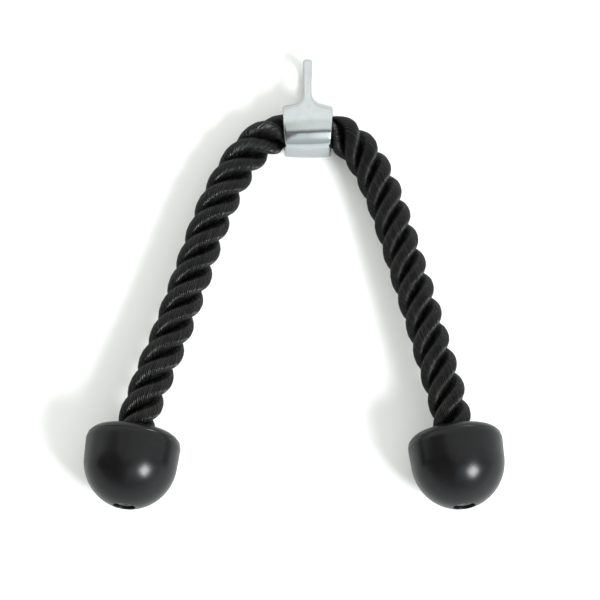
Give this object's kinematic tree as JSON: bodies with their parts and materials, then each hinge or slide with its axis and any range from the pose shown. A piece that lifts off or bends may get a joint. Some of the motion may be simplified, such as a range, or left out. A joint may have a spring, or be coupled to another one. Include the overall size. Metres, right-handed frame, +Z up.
{
  "type": "triceps rope attachment",
  "caption": "Triceps rope attachment: a chrome sleeve with an eye round the middle of a thick black laid rope, with a rubber ball end on each arm.",
  "frame": {"origin": "middle of the outline, on the surface that the rope lies on", "axes": "+Y from the ball ends towards the bracket's eye, +Z up off the surface, +X along the sleeve"},
  "size_m": [0.3176, 0.3653, 0.0721],
  "materials": {
    "chrome": "polished",
    "rope": "matte",
    "rubber": "satin",
    "zinc_plate": "satin",
    "black_screw": "satin",
    "tape": "matte"
  },
  "bodies": {
    "bracket": {"bracket": "chrome", "rope_in_sleeve": "rope"},
    "left_arm": {"rope_left": "rope", "rope_end_left": "rope", "end_tape_left": "tape", "ferrule_left": "zinc_plate", "ball_left": "rubber", "washer_left": "zinc_plate", "screw_left": "black_screw"},
    "right_arm": {"rope_right": "rope", "rope_end_right": "rope", "end_tape_right": "tape", "ferrule_right": "zinc_plate", "ball_right": "rubber", "washer_right": "zinc_plate", "screw_right": "black_screw"}
  },
  "joints": [
    {"name": "left_arm_swing", "type": "hinge", "parent": "bracket", "child": "left_arm", "pos_m": [-0.027, 0.1118, 0.0215], "axis": [0, 0, -1], "range_deg": [-20, 70]},
    {"name": "right_arm_swing", "type": "hinge", "parent": "bracket", "child": "right_arm", "pos_m": [0.048, 0.1088, 0.0216], "axis": [0, 0, 1], "range_deg": [-16, 74]}
  ]
}
